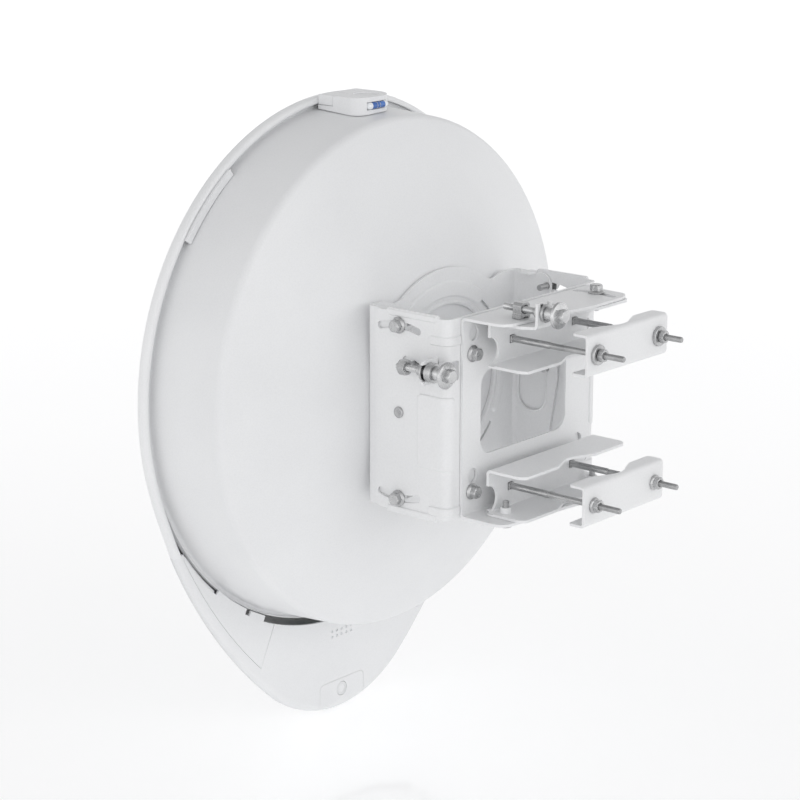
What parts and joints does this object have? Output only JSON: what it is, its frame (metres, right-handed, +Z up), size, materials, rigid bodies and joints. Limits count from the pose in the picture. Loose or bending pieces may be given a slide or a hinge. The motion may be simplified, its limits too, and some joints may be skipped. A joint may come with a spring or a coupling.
{
  "type": "outdoor wireless bridge",
  "caption": "Round dish radio with a pointed chin, on a steel pole bracket that tilts and turns by two adjusting screws.",
  "frame": {"origin": "on the axis of the pole that the two clamps grip, midway between the clamps", "axes": "+Y from the dish towards the pole and back, -Y is the beam direction, +Z up, +X to the left of the beam seen from behind"},
  "size_m": [0.507, 0.405, 0.5985],
  "materials": {
    "radome_plastic": "fine-textured white UV-stable plastic",
    "housing_plastic": "fine-textured white plastic",
    "powder_coated_steel": "white powder coat, satin",
    "zinc_steel": "zinc-plated, satin",
    "screw_steel": "bright satin stainless",
    "aluminium": "cast and spun aluminium",
    "vial": "blue spirit in a clear tube",
    "board": "green solder mask",
    "jack_shell": "tinned shell",
    "light_pipe": "clear moulded light guide",
    "button_plastic": "grey plastic"
  },
  "bodies": {
    "pole_clamp": {"azimuth_lock_bolt_lower_far": "zinc_steel", "azimuth_lock_bolt_lower_near": "zinc_steel", "azimuth_lock_bolt_upper_far": "zinc_steel", "azimuth_pivot_lower": "zinc_steel", "azimuth_pivot_upper": "zinc_steel", "lower_clamp_bolt_far": "zinc_steel", "lower_clamp_bolt_near": "zinc_steel", "lower_inner_clamp": "powder_coated_steel", "upper_clamp_bolt_far": "zinc_steel", "upper_clamp_bolt_near": "zinc_steel", "upper_inner_clamp": "powder_coated_steel"},
    "upper_jaw": {"upper_nut_far": "zinc_steel", "upper_nut_near": "zinc_steel", "upper_outer_clamp": "powder_coated_steel", "upper_washer_far": "zinc_steel", "upper_washer_near": "zinc_steel"},
    "lower_jaw": {"lower_nut_far": "zinc_steel", "lower_nut_near": "zinc_steel", "lower_outer_clamp": "powder_coated_steel"},
    "azimuth_stage": {"azimuth_bracket": "powder_coated_steel", "bracket_bolt_lower_far": "zinc_steel", "bracket_bolt_lower_near": "zinc_steel", "bracket_bolt_upper_far": "zinc_steel", "bracket_bolt_upper_near": "zinc_steel", "tilt_bracket": "powder_coated_steel"},
    "dish": {"chin_rear_cover": "housing_plastic", "chin_side_panel_left": "housing_plastic", "chin_side_panel_right": "housing_plastic", "dish_bracket": "powder_coated_steel", "elevation_lock_bolt_lower_far": "zinc_steel", "elevation_lock_bolt_lower_near": "zinc_steel", "elevation_lock_bolt_upper_far": "zinc_steel", "elevation_lock_bolt_upper_near": "zinc_steel", "elevation_pivot_far": "zinc_steel", "elevation_pivot_near": "zinc_steel", "ethernet_jack": "jack_shell", "feed_tube": "aluminium", "led_light_pipe": "light_pipe", "level_end_block": "housing_plastic", "level_housing": "housing_plastic", "level_vial": "vial", "main_board": "board", "radio_housing": "aluminium", "radome": "radome_plastic", "rear_housing": "housing_plastic", "reflector": "aluminium", "rim_clip_lower_left": "housing_plastic", "rim_clip_lower_right": "housing_plastic", "rim_clip_upper_left": "housing_plastic", "rim_clip_upper_right": "housing_plastic", "subreflector": "aluminium"},
    "azimuth_trunnion_body": {"azimuth_trunnion": "zinc_steel"},
    "azimuth_seat_body": {"azimuth_seat_bush": "zinc_steel"},
    "azimuth_screw_body": {"azimuth_adjust_screw": "screw_steel"},
    "elevation_trunnion_body": {"elevation_trunnion": "zinc_steel"},
    "elevation_seat_body": {"elevation_seat_bush": "zinc_steel"},
    "elevation_screw_body": {"elevation_adjust_screw": "screw_steel"},
    "port_cover_body": {"port_cover": "housing_plastic"},
    "port_latch_body": {"port_latch_button": "housing_plastic"},
    "reset_body": {"reset_button": "button_plastic"}
  },
  "joints": [
    {"name": "upper_jaw_slide", "type": "slide", "parent": "pole_clamp", "child": "upper_jaw", "axis": [0, 1, 0], "range_m": [-0.026, 0.016]},
    {"name": "lower_jaw_slide", "type": "slide", "parent": "pole_clamp", "child": "lower_jaw", "axis": [0, 1, 0], "range_m": [-0.026, 0.016]},
    {"name": "azimuth_turn", "type": "hinge", "parent": "pole_clamp", "child": "azimuth_stage", "pos_m": [0, -0.047, 0], "axis": [0, 0, 1], "range_deg": [-10, 10]},
    {"name": "azimuth_trunnion_turn", "type": "hinge", "parent": "azimuth_stage", "child": "azimuth_trunnion_body", "pos_m": [0.0597, -0.036, 0.097], "axis": [0, 0, 1], "range_deg": [-10.5, 10.5]},
    {"name": "azimuth_seat_slide", "type": "slide", "parent": "pole_clamp", "child": "azimuth_seat_body", "axis": [1, 0, 0], "range_m": [-0.00205, 0.00205]},
    {"name": "azimuth_screw_spin", "type": "hinge", "parent": "azimuth_seat_body", "child": "azimuth_screw_body", "pos_m": [0.0597, -0.0124, 0.097], "axis": [0, 1, 0], "continuous": true},
    {"name": "elevation_tilt", "type": "hinge", "parent": "azimuth_stage", "child": "dish", "pos_m": [0, -0.1305, 0], "axis": [1, 0, 0], "range_deg": [-10, 10]},
    {"name": "elevation_trunnion_turn", "type": "hinge", "parent": "dish", "child": "elevation_trunnion_body", "pos_m": [0.119, -0.114, 0.045], "axis": [1, 0, 0], "range_deg": [-10.5, 10.5]},
    {"name": "elevation_seat_slide", "type": "slide", "parent": "azimuth_stage", "child": "elevation_seat_body", "axis": [0, 0, 1], "range_m": [-0.003, 0.003]},
    {"name": "elevation_screw_spin", "type": "hinge", "parent": "elevation_seat_body", "child": "elevation_screw_body", "pos_m": [0.119, -0.0883, 0.045], "axis": [0, 1, 0], "continuous": true},
    {"name": "port_cover_slide", "type": "slide", "parent": "dish", "child": "port_cover_body", "axis": [0, 0, -1], "range_m": [0, 0.032]},
    {"name": "port_latch_press", "type": "slide", "parent": "port_cover_body", "child": "port_latch_body", "axis": [0, -1, 0], "range_m": [0, 0.0015], "stiffness_N_per_m": 400},
    {"name": "reset_press", "type": "slide", "parent": "dish", "child": "reset_body", "axis": [0, -1, 0], "range_m": [0, 0.0008], "stiffness_N_per_m": 400}
  ],
  "couplings": [
    {"joint": "azimuth_trunnion_turn", "follows": "azimuth_turn", "ratio": -1},
    {"joint": "azimuth_seat_slide", "follows": "azimuth_turn", "m_per_rad": -0.011},
    {"joint": "elevation_trunnion_turn", "follows": "elevation_tilt", "ratio": -1},
    {"joint": "elevation_seat_slide", "follows": "elevation_tilt", "m_per_rad": 0.0165}
  ]
}
